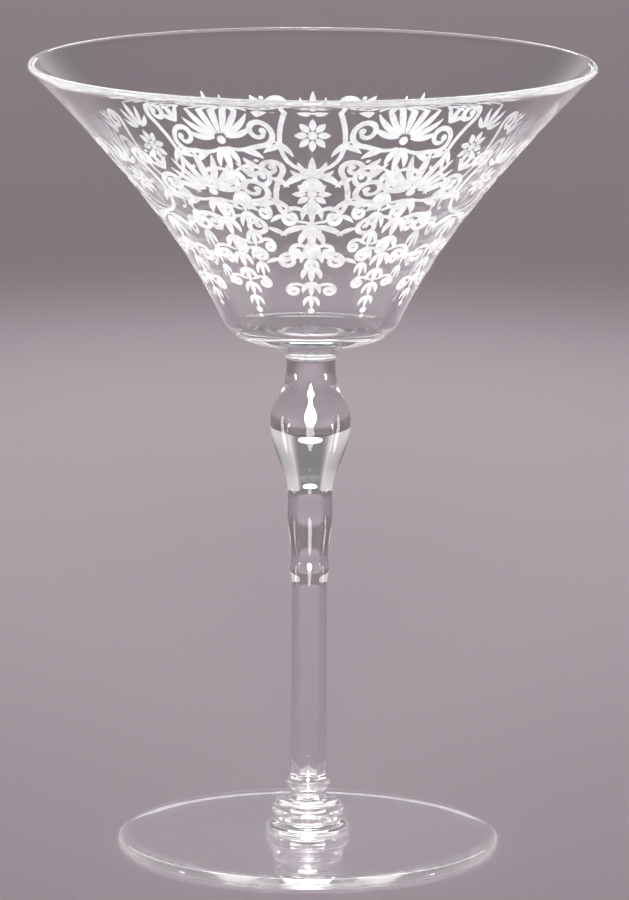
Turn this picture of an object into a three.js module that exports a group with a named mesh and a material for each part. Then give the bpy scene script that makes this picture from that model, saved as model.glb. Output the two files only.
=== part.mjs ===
// A footed sherbet glass in clear glass: a thin flared bowl on a pressed six-panel stem, which two ring
// wafers join to a flat disc foot. The pieces were fused while hot, so each sits face to face on the one
// below it. Millimetres, +Z up, with the origin under the middle of the foot.
import * as THREE from 'three';

// Foot: a spun disc with a fire-polished edge, hollowed a little underneath to stand on a ring.
const FOOT_DIAMETER = 68.8;
const FOOT_EDGE_THICKNESS = 1.9;
const FOOT_CENTRE_HEIGHT = 2.0;
const FOOT_HOLLOW_DEPTH = 0.5;
const FOOT_REST_WIDTH = 2.6;

// Wafers: two rounded rings of glass, the broad one on the foot and the tall one under the stem.
const FOOT_JOINT_DIAMETER = 14.0;
const LOWER_WAFER_DIAMETER = 15.1;
const LOWER_WAFER_HEIGHT = 2.4;
const LOWER_WAFER_BELLY_HEIGHT = 1.1;
const WAFER_JOINT_DIAMETER = 11.8;
const UPPER_WAFER_DIAMETER = 12.9;
const UPPER_WAFER_HEIGHT = 4.0;
const UPPER_WAFER_BELLY_HEIGHT = 2.0;
const UPPER_WAFER_TOP_DIAMETER = 9.2;

// Stem, from its seat up: an ankle, a thin flange, a plain shaft, two soft knuckles, a bulb and a neck.
// Its diameters are taken across the corners between the panels.
const STEM_JOINT_DIAMETER = 7.2;
const ANKLE_DIAMETER = 6.2;
const FLANGE_DIAMETER = 8.2;
const FLANGE_THICKNESS = 0.8;
const SHAFT_DIAMETER = 6.2;
const LOWER_KNUCKLE_DIAMETER = 7.1;
const LOWER_WAIST_DIAMETER = 6.54;
const UPPER_KNUCKLE_DIAMETER = 8.1;
const UPPER_WAIST_DIAMETER = 7.9;
const BULB_DIAMETER = 14.5;
const NECK_DIAMETER = 8.8;
const FLANGE_RISE = 2.9;
const FLARE_RISE = 8.0;
const SHAFT_LENGTH = 28.1;
const LOWER_KNUCKLE_RISE = 3.3;
const LOWER_WAIST_RISE = 1.8;
const UPPER_KNUCKLE_RISE = 8.0;
const UPPER_WAIST_RISE = 3.5;
const BULB_RISE = 13.0;
const NECK_RISE = 10.0;
const NECK_LENGTH = 1.8;

// How long each swelling of the stem stays upright at its ends, as a share of its rise. The bulb's crown
// is the fullest one, and the others run straighter from station to station.
const SWELL_EASE = 0.27;
const CROWN_EASE = 0.4;

// The panels pressed into the stem: how many, how flat they are, how crisp their corners are, and the
// stretches at the flange and under the neck in which the round section turns into the panelled one.
const STEM_PANELS = 6;
const PANEL_FLATNESS = 0.84;
const CORNER_SHARPNESS = 16;
const PANEL_RUN_IN = 4.5;
const PANEL_RUN_OUT = 4.0;

// Bowl: a thick flat bottom and a thin wall that flares from the shoulder to a rounded rim.
const BOWL_HEIGHT = 53.2;
const RIM_DIAMETER = 100.8;
const RIM_THICKNESS = 1.2;
const LOWER_WALL_THICKNESS = 2.2;
const FLOOR_HEIGHT = 6.2;
const FLOOR_CORNER_LENGTH = 1.8;
const SHOULDER_DIAMETER = 29.2;
const SHOULDER_HEIGHT = 4.8;
const SHOULDER_ROUND_LENGTH = 2.4;
const UNDERSIDE_SLOPE = THREE.MathUtils.degToRad(20.5);
const LOWER_WALL_LEAN = THREE.MathUtils.degToRad(27);
const RIM_LEAN = THREE.MathUtils.degToRad(44.5);

// How far the bowl's curves run straight before they bend.
const NECK_SWEEP_LENGTH = 1.7;
const UNDERSIDE_SWEEP_LENGTH = 5.0;
const LOWER_WALL_SWEEP_LENGTH = 7.8;
const RIM_SWEEP_LENGTH = 37.0;

// Facets round each turned piece and along each curve of its outline.
const BOWL_SIDES = 64;
const FOOT_SIDES = 64;
const WAFER_SIDES = 40;
const SIDES_PER_PANEL = 8;
const STEM_FACET_RISE = 1.3;
const WALL_STEPS = 10;
const LONG_CURVE_STEPS = 5;
const SHORT_CURVE_STEPS = 4;

const QUARTER_TURN = Math.PI / 2;

function at(radius, height) {
  return new THREE.Vector2(radius, height);
}

// A unit step up an outline that leans outwards from upright by the angle given.
function leaning(lean) {
  return at(Math.sin(lean), Math.cos(lean));
}

function along(start, direction, distance) {
  return start.clone().addScaledVector(direction, distance);
}

// Turns an outline, given as radius and height from the bottom of the axis to its top, about +Z.
function turn(outline, sides) {
  const body = new THREE.LatheGeometry(outline, sides);
  body.rotateX(QUARTER_TURN);
  return body;
}

// An arc from straight below its centre, round the outside, to straight above it.
function roundedEdge(centreRadius, centreHeight, edgeRadius) {
  return new THREE.EllipseCurve(
    centreRadius, centreHeight, edgeRadius, edgeRadius, -QUARTER_TURN, QUARTER_TURN);
}

function footBody() {
  const radius = FOOT_DIAMETER / 2;
  const edgeRadius = FOOT_EDGE_THICKNESS / 2;
  const restOuter = radius - edgeRadius;
  const restInner = restOuter - FOOT_REST_WIDTH;
  const pad = at(FOOT_JOINT_DIAMETER / 2, FOOT_CENTRE_HEIGHT);
  const hollow = new THREE.QuadraticBezierCurve(
    at(0, FOOT_HOLLOW_DEPTH), at(restInner / 2, FOOT_HOLLOW_DEPTH), at(restInner, 0));
  const edge = roundedEdge(restOuter, edgeRadius, edgeRadius);
  return turn([
    ...hollow.getPoints(LONG_CURVE_STEPS),
    ...edge.getPoints(SHORT_CURVE_STEPS),
    pad,
    at(0, FOOT_CENTRE_HEIGHT),
  ], FOOT_SIDES);
}

// A ring wafer: its side swells from the joint below to the belly, then draws in to the joint above.
function waferBody(lowerDiameter, bellyDiameter, upperDiameter, bellyHeight, height) {
  const lower = lowerDiameter / 2;
  const belly = bellyDiameter / 2;
  const upper = upperDiameter / 2;
  const swelling = new THREE.EllipseCurve(
    lower, bellyHeight, belly - lower, bellyHeight, -QUARTER_TURN, 0);
  const drawnIn = new THREE.EllipseCurve(
    upper, bellyHeight, belly - upper, height - bellyHeight, 0, QUARTER_TURN);
  return turn([
    at(0, 0),
    ...swelling.getPoints(SHORT_CURVE_STEPS),
    ...drawnIn.getPoints(SHORT_CURVE_STEPS).slice(1),
    at(0, height),
  ], WAFER_SIDES);
}

// The stations of the stem, each a widest or narrowest place, worked out from the seat up.
const flangeHeight = FLANGE_RISE;
const shaftFoot = flangeHeight + FLARE_RISE;
const shaftHead = shaftFoot + SHAFT_LENGTH;
const lowerKnuckle = shaftHead + LOWER_KNUCKLE_RISE;
const lowerWaist = lowerKnuckle + LOWER_WAIST_RISE;
const upperKnuckle = lowerWaist + UPPER_KNUCKLE_RISE;
const upperWaist = upperKnuckle + UPPER_WAIST_RISE;
const bulbHeight = upperWaist + BULB_RISE;
const neckFoot = bulbHeight + NECK_RISE;
const stemLength = neckFoot + NECK_LENGTH;

// A curve between two stations, upright at both for the share of its rise that is given.
function swell(below, above, ease) {
  const upright = (above.y - below.y) * ease;
  return new THREE.CubicBezierCurve(
    below, at(below.x, below.y + upright), at(above.x, above.y - upright), above);
}

// The stem's section at an angle, as a share of its corner radius: flat panels with rounded corners
// between them, and one panel facing the front.
function panelShare(angle) {
  const panelAngle = 2 * Math.PI / STEM_PANELS;
  const reach = (direction) => {
    let sum = 0;
    for (let panel = 0; panel < STEM_PANELS; panel += 1) {
      const facing = Math.cos(direction - (panel + 0.5) * panelAngle);
      sum += Math.max(facing, 0) ** CORNER_SHARPNESS;
    }
    return sum ** (-1 / CORNER_SHARPNESS);
  };
  return reach(angle) / reach(0);
}

// Presses the panels into the turned stem, leaving its flange, neck and two ends round.
function pressPanels(body) {
  const flangeTop = flangeHeight + FLANGE_THICKNESS / 2;
  const positions = body.attributes.position;
  const corner = new THREE.Vector3();
  for (let index = 0; index < positions.count; index += 1) {
    corner.fromBufferAttribute(positions, index);
    const runIn = THREE.MathUtils.smoothstep(corner.z, flangeTop, flangeTop + PANEL_RUN_IN);
    const runOut = THREE.MathUtils.smoothstep(corner.z, neckFoot - PANEL_RUN_OUT, neckFoot);
    const share = panelShare(Math.atan2(corner.y, corner.x));
    const scale = THREE.MathUtils.lerp(1, share, PANEL_FLATNESS * runIn * (1 - runOut));
    positions.setXYZ(index, corner.x * scale, corner.y * scale, corner.z);
  }
  body.computeVertexNormals();
  return body;
}

function stemBody() {
  const flangeEdge = FLANGE_THICKNESS / 2;
  const flangeRound = FLANGE_DIAMETER / 2 - flangeEdge;
  const flangeUnder = at(flangeRound, flangeHeight - flangeEdge);
  const flangeOver = at(flangeRound, flangeHeight + flangeEdge);
  const ankle = new THREE.SplineCurve([
    at(STEM_JOINT_DIAMETER / 2, 0),
    at(ANKLE_DIAMETER / 2, flangeUnder.y / 2),
    flangeUnder,
  ]);
  const flare = new THREE.QuadraticBezierCurve(
    flangeOver, at(SHAFT_DIAMETER / 2, flangeOver.y), at(SHAFT_DIAMETER / 2, shaftFoot));
  const stations = [
    at(SHAFT_DIAMETER / 2, shaftHead),
    at(LOWER_KNUCKLE_DIAMETER / 2, lowerKnuckle),
    at(LOWER_WAIST_DIAMETER / 2, lowerWaist),
    at(UPPER_KNUCKLE_DIAMETER / 2, upperKnuckle),
    at(UPPER_WAIST_DIAMETER / 2, upperWaist),
    at(BULB_DIAMETER / 2, bulbHeight),
    at(NECK_DIAMETER / 2, neckFoot),
  ];
  const outline = [
    at(0, 0),
    ...ankle.getPoints(SHORT_CURVE_STEPS).slice(0, -1),
    ...roundedEdge(flangeRound, flangeHeight, flangeEdge).getPoints(SHORT_CURVE_STEPS).slice(0, -1),
    ...flare.getPoints(LONG_CURVE_STEPS),
    stations[0],
  ];
  for (let index = 1; index < stations.length; index += 1) {
    const below = stations[index - 1];
    const above = stations[index];
    const steps = Math.ceil((above.y - below.y) / STEM_FACET_RISE);
    const ease = above.y > bulbHeight ? CROWN_EASE : SWELL_EASE;
    outline.push(...swell(below, above, ease).getPoints(steps).slice(1));
  }
  outline.push(at(NECK_DIAMETER / 2, stemLength), at(0, stemLength));
  return pressPanels(turn(outline, STEM_PANELS * SIDES_PER_PANEL));
}

// The outline of the inside of the wall, from the rim down, at the wall's thickness from the outside.
function wallInside(wall) {
  const inside = [];
  for (let step = WALL_STEPS; step >= 0; step -= 1) {
    const share = step / WALL_STEPS;
    const upwards = wall.getTangent(share);
    const inwards = at(-upwards.y, upwards.x);
    const thickness = THREE.MathUtils.lerp(LOWER_WALL_THICKNESS, RIM_THICKNESS, share);
    inside.push(along(wall.getPoint(share), inwards, thickness));
  }
  return inside;
}

function bowlBody() {
  const shoulder = at(SHOULDER_DIAMETER / 2, SHOULDER_HEIGHT);
  const outwards = at(Math.cos(UNDERSIDE_SLOPE), Math.sin(UNDERSIDE_SLOPE));
  const upLowerWall = leaning(LOWER_WALL_LEAN);
  const joint = at(NECK_DIAMETER / 2, 0);
  const shoulderStart = along(shoulder, outwards, -SHOULDER_ROUND_LENGTH);
  const shoulderEnd = along(shoulder, upLowerWall, SHOULDER_ROUND_LENGTH);
  const underside = new THREE.CubicBezierCurve(
    joint, at(joint.x, NECK_SWEEP_LENGTH),
    along(shoulderStart, outwards, -UNDERSIDE_SWEEP_LENGTH), shoulderStart);
  const shoulderRound = new THREE.QuadraticBezierCurve(shoulderStart, shoulder, shoulderEnd);

  const lipRadius = RIM_THICKNESS / 2;
  const lip = new THREE.EllipseCurve(
    RIM_DIAMETER / 2 - lipRadius, BOWL_HEIGHT - lipRadius, lipRadius, lipRadius,
    -RIM_LEAN, Math.PI - RIM_LEAN);
  const lipStart = lip.getPoint(0);
  const wall = new THREE.CubicBezierCurve(
    shoulderEnd, along(shoulderEnd, upLowerWall, LOWER_WALL_SWEEP_LENGTH),
    along(lipStart, leaning(RIM_LEAN), -RIM_SWEEP_LENGTH), lipStart);

  const inside = wallInside(wall);
  const insideFoot = inside[inside.length - 1];
  const floorCorner = along(insideFoot, upLowerWall, (FLOOR_HEIGHT - insideFoot.y) / upLowerWall.y);
  const floorEdge = at(floorCorner.x - FLOOR_CORNER_LENGTH, FLOOR_HEIGHT);
  const floorRound = new THREE.QuadraticBezierCurve(insideFoot, floorCorner, floorEdge);

  return turn([
    at(0, 0),
    ...underside.getPoints(LONG_CURVE_STEPS),
    ...shoulderRound.getPoints(SHORT_CURVE_STEPS).slice(1),
    ...wall.getPoints(WALL_STEPS).slice(1),
    ...lip.getPoints(SHORT_CURVE_STEPS).slice(1, -1),
    ...inside,
    ...floorRound.getPoints(SHORT_CURVE_STEPS).slice(1),
    at(0, FLOOR_HEIGHT),
  ], BOWL_SIDES);
}

// Clear colourless glass; the bowl's is dulled by the frosted ornament on most of its wall.
function glass(color, roughness, opacity) {
  return new THREE.MeshStandardMaterial({ color, roughness, metalness: 0, transparent: true, opacity });
}

const clearGlass = () => glass(0xe9eceb, 0.05, 0.35);
const frostedGlass = () => glass(0xf4f5f5, 0.4, 0.6);

const sherbetGlass = new THREE.Group();
sherbetGlass.name = 'sherbet_glass';
let seatHeight = 0;

// Sets a piece on top of the last one, and says how high the next one sits.
function stack(name, body, material, height) {
  const piece = new THREE.Mesh(body, material);
  piece.name = name;
  piece.position.z = seatHeight;
  sherbetGlass.add(piece);
  seatHeight += height;
}

stack('foot', footBody(), clearGlass(), FOOT_CENTRE_HEIGHT);
stack('lower_wafer', waferBody(
  FOOT_JOINT_DIAMETER, LOWER_WAFER_DIAMETER, WAFER_JOINT_DIAMETER,
  LOWER_WAFER_BELLY_HEIGHT, LOWER_WAFER_HEIGHT), clearGlass(), LOWER_WAFER_HEIGHT);
stack('upper_wafer', waferBody(
  WAFER_JOINT_DIAMETER, UPPER_WAFER_DIAMETER, UPPER_WAFER_TOP_DIAMETER,
  UPPER_WAFER_BELLY_HEIGHT, UPPER_WAFER_HEIGHT), clearGlass(), UPPER_WAFER_HEIGHT);
stack('stem', stemBody(), clearGlass(), stemLength);
stack('bowl', bowlBody(), frostedGlass(), BOWL_HEIGHT);

export default sherbetGlass;
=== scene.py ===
"""A sherbet glass: five pieces of clear glass fused in a stack, with a frosted ornament on the bowl."""
import math

import bmesh
import bpy
from mathutils import Matrix, Vector
from mathutils.geometry import interpolate_bezier


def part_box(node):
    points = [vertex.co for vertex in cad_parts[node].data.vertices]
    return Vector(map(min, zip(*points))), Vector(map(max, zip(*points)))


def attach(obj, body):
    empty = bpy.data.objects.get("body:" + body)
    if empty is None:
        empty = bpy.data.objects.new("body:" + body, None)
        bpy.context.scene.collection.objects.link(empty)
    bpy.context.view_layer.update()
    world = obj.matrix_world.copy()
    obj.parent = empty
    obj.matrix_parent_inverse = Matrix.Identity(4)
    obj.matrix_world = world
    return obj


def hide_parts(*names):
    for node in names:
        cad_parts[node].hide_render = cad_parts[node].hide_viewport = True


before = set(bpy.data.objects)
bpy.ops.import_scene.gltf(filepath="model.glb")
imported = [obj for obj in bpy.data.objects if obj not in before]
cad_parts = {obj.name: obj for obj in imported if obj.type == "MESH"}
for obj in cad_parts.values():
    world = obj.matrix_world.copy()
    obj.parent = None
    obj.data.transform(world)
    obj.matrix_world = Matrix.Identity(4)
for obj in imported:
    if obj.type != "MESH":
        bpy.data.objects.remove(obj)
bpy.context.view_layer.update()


# Foot
# A disc spun flat from a gather of clear glass, with a fire-polished round edge.
# It is hollowed a little underneath, so the glass stands on a flat ring near its edge.
foot_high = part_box("foot")[1]
foot_radius = foot_high.x
foot_edge_radius = 0.00095
foot_hollow_depth = 0.0005
foot_rest_width = 0.0026
foot_joint_radius = 0.0070
foot_sides = 180
edge_steps = 16
hollow_steps = 24
foot_ripple_size = 0.012
faint_ripple_depth = 0.00002
glass_tint = (0.985, 0.990, 0.990, 1.0)
glass_bending = 1.52
lamp_light_kept = (0.90, 0.90, 0.91, 1.0)
weld_distance = 1e-6
glass_crease_angle = math.radians(35)


def at(radius, height):
    """A point of an outline: so far from the axis and so far above the table."""
    return Vector((radius, 0.0, height))


def sweep(start, start_pull, end_pull, end, steps):
    """A stretch of outline that leaves and arrives along two pulls."""
    return interpolate_bezier(start, start_pull, end_pull, end, steps + 1)


def bend(start, corner, end, steps):
    """A stretch of outline that rounds off a corner."""
    pull = 2 / 3
    return sweep(start, start.lerp(corner, pull), end.lerp(corner, pull), end, steps)


def bulge(centre, across, rise, first, last, steps):
    """A stretch of ellipse round a centre, between two angles counted up from the outward direction."""
    angles = [first + (last - first) * step / steps for step in range(steps + 1)]
    return [centre + at(across * math.cos(angle), rise * math.sin(angle)) for angle in angles]


def turned(outline, sides):
    """The body that an outline makes when it is turned about the axis, on which it starts and ends."""
    body = bmesh.new()
    points = [body.verts.new(point) for point in outline]
    lines = [body.edges.new(pair) for pair in zip(points, points[1:])]
    bmesh.ops.spin(body, geom=points + lines, cent=(0, 0, 0), axis=(0, 0, 1),
                   angle=math.tau, steps=sides, use_merge=True)
    bmesh.ops.remove_doubles(body, verts=body.verts, dist=weld_distance)
    bmesh.ops.recalc_face_normals(body, faces=body.faces)
    return body


def clear_glass(name, ripple_size, ripple_depth):
    """Clear glass with the faint ripples that hot working leaves, which lets the lamps shine through."""
    finish = bpy.data.materials.new(name)
    finish.use_nodes = True
    nodes = finish.node_tree.nodes
    links = finish.node_tree.links
    glass = nodes["Principled BSDF"]
    glass.inputs["Base Color"].default_value = glass_tint
    glass.inputs["Transmission Weight"].default_value = 1.0
    glass.inputs["Roughness"].default_value = 0.0
    glass.inputs["IOR"].default_value = glass_bending
    place = nodes.new("ShaderNodeTexCoord")
    ripples = nodes.new("ShaderNodeTexNoise")
    ripples.inputs["Scale"].default_value = 1 / ripple_size
    ripples.inputs["Detail"].default_value = 1.0
    swell = nodes.new("ShaderNodeBump")
    swell.inputs["Strength"].default_value = 1.0
    swell.inputs["Distance"].default_value = ripple_depth
    links.new(place.outputs["Object"], ripples.inputs["Vector"])
    links.new(ripples.outputs["Fac"], swell.inputs["Height"])
    links.new(swell.outputs["Normal"], glass.inputs["Normal"])
    light_path = nodes.new("ShaderNodeLightPath")
    passing = nodes.new("ShaderNodeBsdfTransparent")
    passing.inputs["Color"].default_value = lamp_light_kept
    either = nodes.new("ShaderNodeMixShader")
    links.new(light_path.outputs["Is Shadow Ray"], either.inputs["Fac"])
    links.new(glass.outputs["BSDF"], either.inputs[1])
    links.new(passing.outputs["BSDF"], either.inputs[2])
    links.new(either.outputs["Shader"], nodes["Material Output"].inputs["Surface"])
    return finish


fused_seam = bpy.data.materials.new("fused_seam")
fused_seam.use_nodes = True
seam_nodes = fused_seam.node_tree.nodes
seam_nodes.remove(seam_nodes["Principled BSDF"])
nothing_seen = seam_nodes.new("ShaderNodeBsdfTransparent")
fused_seam.node_tree.links.new(nothing_seen.outputs["BSDF"], seam_nodes["Material Output"].inputs["Surface"])


def glass_piece(name, node, body, finish, seams):
    """Keeps a body as a piece that stands for a node, with its fused seams, each a height and a radius."""
    for height, radius in seams:
        for face in body.faces:
            level = all(abs(corner.co.z - height) < weld_distance for corner in face.verts)
            if level and face.calc_center_median().xy.length < radius:
                face.material_index = 1
    mesh = bpy.data.meshes.new(name)
    body.to_mesh(mesh)
    body.free()
    mesh.materials.append(finish)
    mesh.materials.append(fused_seam)
    mesh.shade_smooth()
    mesh.set_sharp_from_angle(angle=glass_crease_angle)
    piece = bpy.data.objects.new(name, mesh)
    bpy.context.collection.objects.link(piece)
    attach(piece, "root")
    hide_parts(node)


rest_outer = foot_radius - foot_edge_radius
rest_inner = rest_outer - foot_rest_width
foot_seam = foot_high.z
foot_outline = [
    *bend(at(0, foot_hollow_depth), at(rest_inner / 2, foot_hollow_depth), at(rest_inner, 0), hollow_steps),
    *bulge(at(rest_outer, foot_edge_radius), foot_edge_radius, foot_edge_radius,
           -math.pi / 2, math.pi / 2, edge_steps),
    at(foot_joint_radius, foot_seam),
    at(0, foot_seam),
]
glass_piece("foot_disc", "foot", turned(foot_outline, foot_sides),
            clear_glass("spun_foot_glass", foot_ripple_size, faint_ripple_depth),
            [(foot_seam, foot_joint_radius)])


# Wafers
# Two soft rings of clear glass, dropped hot on the foot one after the other.
# The broad one spreads on the foot, and the tall one on top of it carries the stem.
lower_wafer_low, lower_wafer_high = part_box("lower_wafer")
upper_wafer_low, upper_wafer_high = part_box("upper_wafer")
lower_belly_height = 0.0011
wafer_joint_radius = 0.0059
upper_belly_height = 0.0020
upper_wafer_top_radius = 0.0046
stem_joint_radius = 0.0036
wafer_sides = 120
wafer_steps = 16
wafer_ripple_size = 0.004


def wafer(low, high, lower_radius, belly_height, upper_radius, joint_radius):
    """A ring that swells from the joint below to its belly and draws in to the joint above."""
    belly = low.z + belly_height
    belly_radius = high.x
    return turned([
        at(0, low.z),
        *bulge(at(lower_radius, belly), belly_radius - lower_radius, belly_height,
               -math.pi / 2, 0, wafer_steps),
        *bulge(at(upper_radius, belly), belly_radius - upper_radius, high.z - belly,
               0, math.pi / 2, wafer_steps),
        at(joint_radius, high.z),
        at(0, high.z),
    ], wafer_sides)


wafer_glass = clear_glass("wafer_glass", wafer_ripple_size, faint_ripple_depth)
glass_piece("lower_ring", "lower_wafer",
            wafer(lower_wafer_low, lower_wafer_high, foot_joint_radius, lower_belly_height,
                  wafer_joint_radius, wafer_joint_radius),
            wafer_glass,
            [(lower_wafer_low.z, foot_joint_radius), (lower_wafer_high.z, wafer_joint_radius)])
glass_piece("upper_ring", "upper_wafer",
            wafer(upper_wafer_low, upper_wafer_high, wafer_joint_radius, upper_belly_height,
                  upper_wafer_top_radius, stem_joint_radius),
            wafer_glass,
            [(upper_wafer_low.z, wafer_joint_radius), (upper_wafer_high.z, stem_joint_radius)])


# Stem
# Clear glass pressed in a mould with six flat panels, from a thin round flange up to a round neck.
# It swells in two soft knuckles and a bulb, and is fused to the ring below and the bowl above.
stem_low, stem_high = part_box("stem")
ankle_radius = 0.0031
flange_radius = 0.0041
flange_edge_radius = 0.0004
flange_rise = 0.0029
flare_rise = 0.0080
shaft_radius = 0.0031
shaft_length = 0.0281
lower_knuckle_radius = 0.00355
lower_knuckle_rise = 0.0033
lower_waist_radius = 0.00327
lower_waist_rise = 0.0018
upper_knuckle_radius = 0.00405
upper_knuckle_rise = 0.0080
upper_waist_radius = 0.00395
upper_waist_rise = 0.0035
bulb_radius = 0.00725
bulb_rise = 0.0130
neck_radius = 0.0044
neck_rise = 0.0100
swell_ease = 0.27
crown_ease = 0.4
stem_panels = 6
panel_flatness = 0.84
corner_sharpness = 16
corner_crowding = 0.8
panel_run_in = 0.0045
panel_run_out = 0.0040
stem_sides = 144
stem_step = 0.0005
stem_ripple_size = 0.005


def swelling(below, above, ease):
    """The outline between two stations, upright at both for a share of its rise."""
    rise = at(0, above.z - below.z)
    return sweep(below, below + rise * ease, above - rise * ease, above, math.ceil(rise.z / stem_step))


def panel_share(angle):
    """How far the panelled section reaches at an angle, as a share of its reach at a corner."""
    panel_angle = math.tau / stem_panels

    def reach(direction):
        facings = [math.cos(direction - (panel + 0.5) * panel_angle) for panel in range(stem_panels)]
        return sum(max(facing, 0) ** corner_sharpness for facing in facings) ** (-1 / corner_sharpness)

    return reach(angle) / reach(0)


def smooth_rise(value, low, high):
    """0 below low and 1 above high, with a smooth step between them."""
    share = min(max((value - low) / (high - low), 0), 1)
    return share * share * (3 - 2 * share)


def press_panels(body, panels_low, panels_high):
    """Presses flat panels into a turned stem, with its facets crowded at the corners between them."""
    for corner in body.verts:
        angle = math.atan2(corner.co.y, corner.co.x)
        angle -= corner_crowding * math.sin(stem_panels * angle) / stem_panels
        run_in = smooth_rise(corner.co.z, panels_low, panels_low + panel_run_in)
        run_out = smooth_rise(corner.co.z, panels_high - panel_run_out, panels_high)
        pressed = panel_flatness * run_in * (1 - run_out)
        radius = corner.co.xy.length * (1 + (panel_share(angle) - 1) * pressed)
        corner.co.x = radius * math.cos(angle)
        corner.co.y = radius * math.sin(angle)


flange_height = stem_low.z + flange_rise
flange_round = flange_radius - flange_edge_radius
flange_under = at(flange_round, flange_height - flange_edge_radius)
flange_over = at(flange_round, flange_height + flange_edge_radius)
shaft_foot = at(shaft_radius, flange_height + flare_rise)
ankle_middle = at(2 * ankle_radius - (stem_joint_radius + flange_round) / 2,
                  (stem_low.z + flange_under.z) / 2)
stem_outline = [
    at(0, stem_low.z),
    *bend(at(stem_joint_radius, stem_low.z), ankle_middle, flange_under, edge_steps),
    *bulge(at(flange_round, flange_height), flange_edge_radius, flange_edge_radius,
           -math.pi / 2, math.pi / 2, edge_steps),
    *bend(flange_over, at(shaft_radius, flange_over.z), shaft_foot, edge_steps),
]
station = shaft_foot
for rise, radius, ease in (
    (shaft_length, shaft_radius, swell_ease),
    (lower_knuckle_rise, lower_knuckle_radius, swell_ease),
    (lower_waist_rise, lower_waist_radius, swell_ease),
    (upper_knuckle_rise, upper_knuckle_radius, swell_ease),
    (upper_waist_rise, upper_waist_radius, swell_ease),
    (bulb_rise, bulb_radius, swell_ease),
    (neck_rise, neck_radius, crown_ease),
):
    next_station = at(radius, station.z + rise)
    stem_outline += swelling(station, next_station, ease)
    station = next_station
neck_foot = station.z
stem_outline += [at(neck_radius, stem_high.z), at(0, stem_high.z)]
stem_body = turned(stem_outline, stem_sides)
press_panels(stem_body, flange_over.z, neck_foot)
glass_piece("panelled_stem", "stem", stem_body,
            clear_glass("pressed_stem_glass", stem_ripple_size, faint_ripple_depth),
            [(stem_low.z, stem_joint_radius), (stem_high.z, neck_radius)])


# Bowl
# Clear glass blown thin in a mould, with a thick flat bottom, a round shoulder and a flared wall.
# Its rim was ground and fire-polished round, and its underside is fused to the neck of the stem.
bowl_low, bowl_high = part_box("bowl")
rim_radius = bowl_high.x
rim_thickness = 0.0012
lower_wall_thickness = 0.0022
bottom_thickness = 0.0062
bottom_corner_length = 0.0018
shoulder_radius = 0.0146
shoulder_height = 0.0048
shoulder_round_length = 0.0024
underside_slope = math.radians(20.5)
lower_wall_lean = math.radians(27)
rim_lean = math.radians(44.5)
neck_sweep_length = 0.0017
underside_sweep_length = 0.0050
lower_wall_sweep_length = 0.0078
rim_sweep_length = 0.0370
bowl_sides = 192
wall_steps = 64
underside_steps = 32
round_steps = 14
bowl_ripple_size = 0.020
bowl_ripple_depth = 0.00003


def leaning(lean):
    """A unit step up an outline that leans outwards from upright."""
    return at(math.sin(lean), math.cos(lean))


def wall_inside(outside):
    """The inside of a wall, from the rim down: the outside moved inwards by the wall's thickness."""
    inside = []
    last = len(outside) - 1
    for step in range(last, -1, -1):
        upwards = (outside[min(step + 1, last)] - outside[max(step - 1, 0)]).normalized()
        inwards = at(-upwards.z, upwards.x)
        thickness = lower_wall_thickness + (rim_thickness - lower_wall_thickness) * step / last
        inside.append(outside[step] + inwards * thickness)
    return inside


base = at(0, bowl_low.z)
shoulder = base + at(shoulder_radius, shoulder_height)
outwards = at(math.cos(underside_slope), math.sin(underside_slope))
up_lower_wall = leaning(lower_wall_lean)
neck_joint = base + at(neck_radius, 0)
shoulder_start = shoulder - outwards * shoulder_round_length
shoulder_end = shoulder + up_lower_wall * shoulder_round_length
lip_radius = rim_thickness / 2
lip_centre = at(rim_radius - lip_radius, bowl_high.z - lip_radius)
lip = bulge(lip_centre, lip_radius, lip_radius, -rim_lean, math.pi - rim_lean, round_steps)
wall = sweep(shoulder_end, shoulder_end + up_lower_wall * lower_wall_sweep_length,
             lip[0] - leaning(rim_lean) * rim_sweep_length, lip[0], wall_steps)
inside = wall_inside(wall)
inside_foot = inside[-1]
bottom_level = bowl_low.z + bottom_thickness
bottom_corner = inside_foot + up_lower_wall * ((bottom_level - inside_foot.z) / up_lower_wall.z)
bottom_edge = at(bottom_corner.x - bottom_corner_length, bottom_level)
bowl_outline = [
    base,
    *sweep(neck_joint, neck_joint + at(0, neck_sweep_length),
           shoulder_start - outwards * underside_sweep_length, shoulder_start, underside_steps),
    *bend(shoulder_start, shoulder, shoulder_end, round_steps),
    *wall[1:],
    *lip[1:-1],
    *inside,
    *bend(inside_foot, bottom_corner, bottom_edge, round_steps),
    at(0, bottom_level),
]
glass_piece("flared_bowl", "bowl", turned(bowl_outline, bowl_sides),
            clear_glass("blown_bowl_glass", bowl_ripple_size, bowl_ripple_depth),
            [(bowl_low.z, neck_radius)])


# Frosted ornament
# Six lyres with rosettes and six palmettes, each with a drop of husks that hangs down the wall below it.
# They are etched white into the outside of the bowl, a few hundredths of a millimetre deep.
ornament_repeats = 6
front_angle = -math.pi / 2
drawing_unit = 0.001
etch_depth = 0.00006
etch_softness = 0.0002
etch_crease_angle = math.radians(30)
stroke_corners = 4
leaf_steps = 8
bead_steps = 6
lead_steps = 10
curl_steps = 20
thinnest_line = 0.08
both_sides = (1, -1)
drawn_once = (1,)
rosette_petals = 8
frost_roughness = 0.6
frost_grain_size = 0.0012
frost_grain_depth = 0.00004
frost_grain_layers = 4.0
frost_dull_tone = (0.80, 0.80, 0.80, 1)
frost_dull_below = 0.3
frost_white_tone = (0.95, 0.95, 0.95, 1)
frost_white_above = 0.6
frost_light_passed = 0.35


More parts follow.
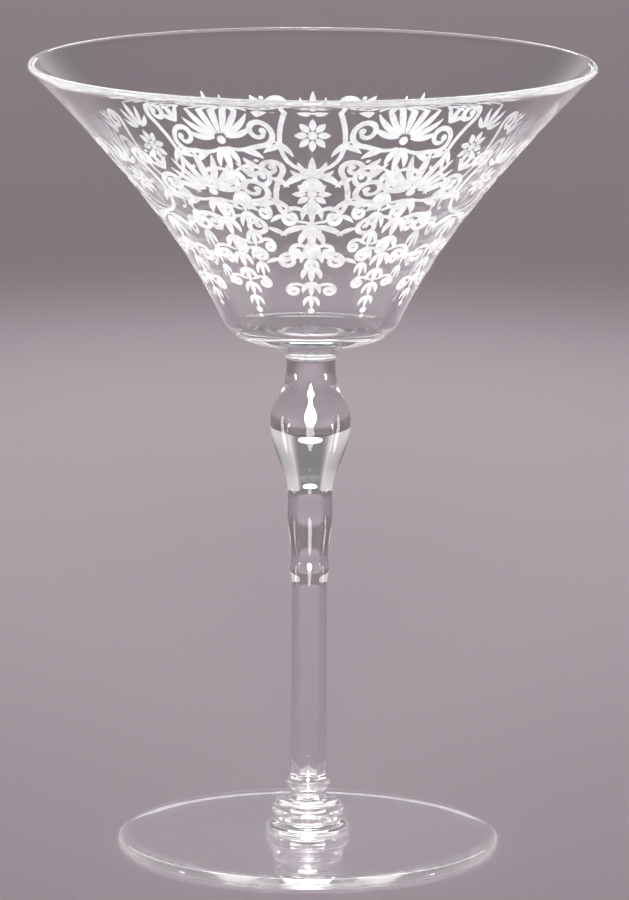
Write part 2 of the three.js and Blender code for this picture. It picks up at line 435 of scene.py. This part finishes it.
def heading(degrees, length):
    """A step on the drawing, with 0 degrees to the right and 90 up to the rim."""
    angle = math.radians(degrees)
    return Vector((length * math.cos(angle), -length * math.sin(angle), 0))


def spot(across, drop):
    """A place on the flat drawing, in millimetres round the bowl and down from the rim."""
    return Vector((across, drop, 0))


class Drawing:
    """Tapered strokes of one motif, each drawn on both sides of its middle line or only once."""

    def __init__(self, name):
        self.curve = bpy.data.curves.new(name, "CURVE")
        self.curve.dimensions = "3D"
        self.curve.twist_mode = "Z_UP"
        self.curve.bevel_depth = 1.0
        self.curve.bevel_resolution = 0

    def stroke(self, places, widths, sides):
        """A line through places, with its width at each of them."""
        for side in sides:
            line = self.curve.splines.new("POLY")
            line.points.add(len(places) - 1)
            for point, place, width in zip(line.points, places, widths):
                point.co = (place.x * side, place.y, 0, 1)
                point.radius = max(width / 2, thinnest_line)

    def leaf(self, base, degrees, length, width, bow=0.0, sides=both_sides):
        """A pointed leaf that bows to one side of its heading by a share of its length."""
        bow_place = 0.55
        blunt_base = 0.06
        taper_run = 0.90
        taper_lean = 0.85
        fullness = 0.9
        middle = base + heading(degrees, length * bow_place) + heading(degrees + 90, bow * length)
        places = bend(base, middle, base + heading(degrees, length), leaf_steps)
        steps = [step / leaf_steps for step in range(leaf_steps + 1)]
        shares = [blunt_base + taper_run * step ** taper_lean for step in steps]
        self.stroke(places, [width * math.sin(math.pi * share) ** fullness for share in shares], sides)

    def bead(self, centre, radius, sides=both_sides):
        """A round dot."""
        end_step = 0.25
        turns = [math.pi * (step + end_step) / (bead_steps + 2 * end_step) for step in range(bead_steps + 1)]
        self.stroke([centre + spot(-radius * math.cos(turn), 0) for turn in turns],
                    [2 * radius * math.sin(turn) for turn in turns], sides)

    def scroll(self, start, degrees, centre, radius, entry, sense, turns, width):
        """A line that leaves start along a heading and curls round a centre into a beaded eye."""
        eye_share = 0.28
        eye_bead_share = 0.62
        lead_pull = 0.45
        closing = 0.85
        taper_start = 0.05
        taper_run = 0.85
        fullness = 0.8
        thin_share = 0.34
        join = centre + heading(entry, radius)
        pull = lead_pull * (join - start).length
        places = sweep(start, start + heading(degrees, pull),
                       join - heading(entry + 90 * sense, pull), join, lead_steps)
        for step in range(1, curl_steps + 1):
            share = step / curl_steps
            reach = radius * (1 - (1 - eye_share) * share ** closing)
            places.append(centre + heading(entry + sense * 360 * turns * share, reach))
        last = len(places) - 1
        shares = [taper_start + taper_run * step / last for step in range(last + 1)]
        swells = [math.sin(math.pi * share) ** fullness for share in shares]
        self.stroke(places, [width * (thin_share + (1 - thin_share) * swell) for swell in swells], both_sides)
        self.bead(places[-1], width * eye_bead_share)

    def husks(self, top, lengths):
        """Hangs a drop of husks, each of three leaves, and tells how far below the rim it ends."""
        middle_width_share = 0.30
        side_place = spot(0.3, 0.2)
        side_heading = -66
        side_length_share = 0.82
        side_width_share = 0.27
        side_bow = 0.2
        spacing_share = 0.92
        for length in lengths:
            husk_foot = spot(0, top)
            self.leaf(husk_foot, -90, length, length * middle_width_share, 0, drawn_once)
            self.leaf(husk_foot + side_place, side_heading,
                      length * side_length_share, length * side_width_share, side_bow)
            top += length * spacing_share
        return top

    def flat_mesh(self):
        """The strokes as a mesh of four-sided tubes with open ends."""
        holder = bpy.data.objects.new(self.curve.name, self.curve)
        bpy.context.collection.objects.link(holder)
        evaluated = holder.evaluated_get(bpy.context.evaluated_depsgraph_get())
        mesh = bpy.data.meshes.new_from_object(evaluated)
        bpy.data.objects.remove(holder)
        return mesh


# A fan of leaves over two scrolls that each carry a bud, and a drop of husks beside smaller scrolls.
palmette = Drawing("palmette")
palmette.leaf(spot(0, 22.6), 90, 9.6, 1.6, 0, drawn_once)
palmette.leaf(spot(0.5, 22.6), 72, 9.0, 1.4, -0.08)
palmette.leaf(spot(0.9, 22.7), 54, 8.2, 1.3, -0.12)
palmette.leaf(spot(1.1, 23.0), 37, 7.2, 1.3, -0.16)
palmette.leaf(spot(1.2, 23.4), 19, 6.0, 1.3, -0.2)
palmette.bead(spot(0, 24.0), 0.9, drawn_once)
palmette.scroll(spot(0.6, 25.6), -25, spot(8.0, 22.6), 3.0, -85, 1, 1.25, 1.15)
palmette.leaf(spot(3.6, 26.4), -28, 4.0, 1.4, 0.18)
palmette.leaf(spot(10.3, 24.8), -52, 4.2, 1.3, 0.2)
bud_foot = spot(8.6, 19.4)
palmette.leaf(bud_foot, 68, 4.6, 1.2)
palmette.leaf(bud_foot, 112, 3.8, 1.1, -0.16)
palmette.leaf(bud_foot, 24, 3.8, 1.1, 0.16)
palmette.bead(spot(11.2, 15.0), 0.42)
drop_end = palmette.husks(25.4, (5.2, 4.8, 4.4, 4.0, 3.6, 3.2, 2.8))
palmette.bead(spot(0, drop_end + 0.8), 0.65, drawn_once)
palmette.bead(spot(0, drop_end + 2.1), 0.4, drawn_once)
palmette.scroll(spot(0.7, 30.6), 25, spot(5.2, 32.2), 2.2, 75, -1, 1.15, 1.0)
palmette.leaf(spot(7.3, 32.4), -35, 3.4, 1.2, 0.2)
palmette.bead(spot(8.6, 29.0), 0.42)
palmette.scroll(spot(0.6, 38.4), 25, spot(3.7, 39.2), 1.5, 70, -1, 1.1, 0.9)
palmette.scroll(spot(0.5, 45.2), 25, spot(2.8, 45.8), 1.2, 70, -1, 1.05, 0.8)

# Two tall scrolls round a rosette with a sprig above it, and a drop of husks beside smaller scrolls.
lyre = Drawing("lyre")
lyre.scroll(spot(0.5, 31.0), 5, spot(7.3, 17.0), 2.4, 200, -1, 1.2, 1.2)
rosette_middle = spot(0, 23.6)
petal_start = 1.0
lyre.bead(rosette_middle, 0.9, drawn_once)
for petal in range(rosette_petals):
    petal_heading = 360 / rosette_petals * petal
    petal_base = rosette_middle + heading(petal_heading, petal_start)
    lyre.leaf(petal_base, petal_heading, 2.4, 1.4, 0, drawn_once)
lyre.leaf(spot(0, 19.2), 90, 5.4, 1.4, 0, drawn_once)
lyre.leaf(spot(0.3, 19.2), 62, 4.6, 1.2, -0.14)
lyre.leaf(spot(0.6, 19.4), 34, 3.8, 1.1, -0.2)
lyre.leaf(spot(5.5, 25.8), -20, 4.0, 1.3, 0.2)
lyre.leaf(spot(9.5, 16.4), 40, 3.2, 1.1, -0.2)
lyre.bead(spot(0, 31.4), 0.85, drawn_once)
lyre.leaf(spot(0.6, 31.8), -28, 5.4, 1.5, 0.2)
drop_end = lyre.husks(32.4, (5.2, 4.6, 4.0, 3.5, 3.0))
lyre.bead(spot(0, drop_end + 0.7), 0.6, drawn_once)
lyre.scroll(spot(0.6, 39.6), 25, spot(4.0, 40.4), 1.7, 70, -1, 1.1, 1.0)
lyre.leaf(spot(5.4, 40.0), -25, 2.8, 1.0, 0.2)
lyre.scroll(spot(0.5, 46.6), 25, spot(3.0, 47.2), 1.3, 70, -1, 1.05, 0.85)


def wall_below_rim(drop):
    """The place on the outside of the wall at a distance down from the rim, and its outward direction."""
    walked = 0
    for upper, lower in zip(wall[::-1], wall[-2::-1]):
        step = (upper - lower).length
        if walked + step >= drop or lower is wall[0]:
            downwards = (lower - upper) / step
            return upper + downwards * (drop - walked), at(-downwards.z, downwards.x)
        walked += step


def wrap(corner, middle_angle):
    """Lays a corner of the flat drawing on the wall, with the drawing's middle line at an angle."""
    place, outward = wall_below_rim(corner.co.y * drawing_unit)
    lift = corner.co.z * drawing_unit
    place = place + outward * (etch_depth * lift / (abs(lift) + etch_softness))
    angle = middle_angle + corner.co.x * drawing_unit / place.x
    corner.co = (place.x * math.cos(angle), place.x * math.sin(angle), place.z)


def etched_frost():
    """White frosting with a fine grain, which lets a part of the light through."""
    finish = bpy.data.materials.new("etched_frost")
    finish.use_nodes = True
    nodes = finish.node_tree.nodes
    links = finish.node_tree.links
    face = nodes["Principled BSDF"]
    face.inputs["Roughness"].default_value = frost_roughness
    place = nodes.new("ShaderNodeTexCoord")
    grain = nodes.new("ShaderNodeTexNoise")
    grain.inputs["Scale"].default_value = 1 / frost_grain_size
    grain.inputs["Detail"].default_value = frost_grain_layers
    tone = nodes.new("ShaderNodeValToRGB")
    dull, white = tone.color_ramp.elements
    dull.position = frost_dull_below
    dull.color = frost_dull_tone
    white.position = frost_white_above
    white.color = frost_white_tone
    bump = nodes.new("ShaderNodeBump")
    bump.inputs["Distance"].default_value = frost_grain_depth
    glow = nodes.new("ShaderNodeBsdfTranslucent")
    both = nodes.new("ShaderNodeMixShader")
    both.inputs["Fac"].default_value = frost_light_passed
    links.new(place.outputs["Object"], grain.inputs["Vector"])
    links.new(grain.outputs["Fac"], tone.inputs["Fac"])
    links.new(grain.outputs["Fac"], bump.inputs["Height"])
    links.new(tone.outputs["Color"], face.inputs["Base Color"])
    links.new(tone.outputs["Color"], glow.inputs["Color"])
    links.new(bump.outputs["Normal"], face.inputs["Normal"])
    links.new(face.outputs["BSDF"], both.inputs[1])
    links.new(glow.outputs["BSDF"], both.inputs[2])
    links.new(both.outputs["Shader"], nodes["Material Output"].inputs["Surface"])
    return finish


etching = bmesh.new()
for motif, first_share in ((lyre, 0.0), (palmette, 0.5)):
    flat = motif.flat_mesh()
    for repeat in range(ornament_repeats):
        laid = len(etching.verts)
        etching.from_mesh(flat)
        etching.verts.ensure_lookup_table()
        for corner in etching.verts[laid:]:
            wrap(corner, front_angle + math.tau * (repeat + first_share) / ornament_repeats)
bmesh.ops.holes_fill(etching, edges=etching.edges, sides=stroke_corners)
bmesh.ops.recalc_face_normals(etching, faces=etching.faces)
ornament_mesh = bpy.data.meshes.new("frosted_ornament")
etching.to_mesh(ornament_mesh)
etching.free()
ornament_mesh.shade_smooth()
ornament_mesh.set_sharp_from_angle(angle=etch_crease_angle)
ornament_mesh.materials.append(etched_frost())
ornament = bpy.data.objects.new("frosted_ornament", ornament_mesh)
bpy.context.collection.objects.link(ornament)
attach(ornament, "root")


# Floor
# A wide plain sheet, pale mauve grey and matt, on which the glass stands.
# It lies a hair lower than the foot, so that the two never share a face.
floor_radius = 5.0
floor_sides = 96
floor_gap = 0.0002
floor_colour = (0.360, 0.305, 0.335, 1.0)
floor_roughness = 0.9
floor_shine = 0.1
floor_shape = bmesh.new()
bmesh.ops.create_circle(floor_shape, cap_ends=True, segments=floor_sides, radius=floor_radius)
bmesh.ops.translate(floor_shape, verts=floor_shape.verts, vec=(0, 0, -floor_gap))
floor_mesh = bpy.data.meshes.new("floor")
floor_shape.to_mesh(floor_mesh)
floor_shape.free()
floor_finish = bpy.data.materials.new("floor_sheet")
floor_finish.use_nodes = True
floor_surface = floor_finish.node_tree.nodes["Principled BSDF"]
floor_surface.inputs["Base Color"].default_value = floor_colour
floor_surface.inputs["Roughness"].default_value = floor_roughness
floor_surface.inputs["Specular IOR Level"].default_value = floor_shine
floor_mesh.materials.append(floor_finish)
floor = bpy.data.objects.new("floor", floor_mesh)
bpy.context.collection.objects.link(floor)


# Light
# A tall key lamp in front, panels high and low behind, and soft beams on the bowl's sides and the floor.
# The surround is dim overhead, in front and behind, and lighter to the sides.
glass_middle = Vector((0, 0, 0.075))
bowl_middle = Vector((0, 0, 0.12))
pool_middle = Vector((0, 0.32, 0))
beam_lamp_radius = 0.06
behind_colour = (0.24, 0.23, 0.24, 1.0)
beside_colour = (0.74, 0.69, 0.72, 1.0)
dome_colour = (0.15, 0.15, 0.155, 1.0)
dome_starts = 0.10
dome_full = 0.50
sides_start = 0.06
sides_full = 0.30
glass_bounces = 96
clear_passes = 64


def hang(name, lamp, place, look_at):
    """Puts a lamp at a place, so that it faces another."""
    holder = bpy.data.objects.new(name, lamp)
    holder.location = place
    holder.rotation_euler = (look_at - place).to_track_quat("-Z", "Y").to_euler()
    bpy.context.collection.objects.link(holder)


def panel_light(name, place, look_at, width, height, power, shape="RECTANGLE"):
    """A flat lamp that faces a place."""
    lamp = bpy.data.lights.new(name, "AREA")
    lamp.shape = shape
    lamp.size = width
    lamp.size_y = height
    lamp.energy = power
    hang(name, lamp, place, look_at)


def beam_light(name, place, look_at, cone, power):
    """A round lamp that throws a soft-edged beam at a place."""
    lamp = bpy.data.lights.new(name, "SPOT")
    lamp.spot_size = cone
    lamp.spot_blend = 1.0
    lamp.shadow_soft_size = beam_lamp_radius
    lamp.energy = power
    hang(name, lamp, place, look_at)


panel_light("key", place=Vector((0, -1.30, 0.50)), look_at=glass_middle,
            width=0.16, height=0.96, power=17.0, shape="ELLIPSE")
beam_light("pool", place=Vector((0, 1.20, 1.00)), look_at=pool_middle, cone=math.radians(25), power=50.0)
for side in (-1, 1):
    beam_light("side", place=Vector((0.64 * side, -0.14, 0.06)), look_at=bowl_middle,
               cone=math.radians(20), power=19.0)
panel_light("back", place=Vector((0, 2.20, 1.45)), look_at=glass_middle,
            width=1.80, height=0.90, power=20.0)
panel_light("low", place=Vector((0, 4.00, 0.20)), look_at=glass_middle,
            width=0.55, height=0.26, power=0.6, shape="ELLIPSE")

surround = bpy.data.worlds.new("surround")
surround.use_nodes = True
sky_nodes = surround.node_tree.nodes
sky_links = surround.node_tree.links
sky_place = sky_nodes.new("ShaderNodeTexCoord")
sky_parts = sky_nodes.new("ShaderNodeSeparateXYZ")
sky_height = sky_nodes.new("ShaderNodeMapRange")
sky_height.interpolation_type = "SMOOTHSTEP"
sky_height.inputs["From Min"].default_value = dome_starts
sky_height.inputs["From Max"].default_value = dome_full
sky_side = sky_nodes.new("ShaderNodeMath")
sky_side.operation = "ABSOLUTE"
sky_width = sky_nodes.new("ShaderNodeMapRange")
sky_width.interpolation_type = "SMOOTHSTEP"
sky_width.inputs["From Min"].default_value = sides_start
sky_width.inputs["From Max"].default_value = sides_full
sky_low = sky_nodes.new("ShaderNodeMix")
sky_low.data_type = "RGBA"
sky_low.inputs["A"].default_value = behind_colour
sky_low.inputs["B"].default_value = beside_colour
sky_tone = sky_nodes.new("ShaderNodeMix")
sky_tone.data_type = "RGBA"
sky_tone.inputs["B"].default_value = dome_colour
sky_links.new(sky_place.outputs["Generated"], sky_parts.inputs["Vector"])
sky_links.new(sky_parts.outputs["X"], sky_side.inputs[0])
sky_links.new(sky_side.outputs["Value"], sky_width.inputs["Value"])
sky_links.new(sky_width.outputs["Result"], sky_low.inputs["Factor"])
sky_links.new(sky_low.outputs["Result"], sky_tone.inputs["A"])
sky_links.new(sky_parts.outputs["Z"], sky_height.inputs["Value"])
sky_links.new(sky_height.outputs["Result"], sky_tone.inputs["Factor"])
sky_links.new(sky_tone.outputs["Result"], sky_nodes["Background"].inputs["Color"])
scene = bpy.context.scene
scene.world = surround
scene.view_settings.view_transform = "Standard"
scene.cycles.max_bounces = glass_bounces
scene.cycles.transmission_bounces = glass_bounces
scene.cycles.glossy_bounces = glass_bounces
scene.cycles.transparent_max_bounces = clear_passes


# Camera
# It stands in front, higher than the rim, and looks down at the glass through a long lens.
# It is rolled by less than half a degree, as a camera held by hand is.
camera_place = Vector((0.00074, -1.1514, 0.29275))
camera_pitch = math.radians(10.84)
camera_roll = math.radians(0.385)
camera_lens = 262.4
camera_reach = 20.0
camera = bpy.data.objects.new("camera", bpy.data.cameras.new("camera"))
camera.data.lens = camera_lens
camera.data.clip_end = camera_reach
camera.matrix_world = (Matrix.Translation(camera_place)
                       @ Matrix.Rotation(math.pi / 2 - camera_pitch, 4, "X")
                       @ Matrix.Rotation(camera_roll, 4, "Z"))
bpy.context.collection.objects.link(camera)
scene.camera = camera
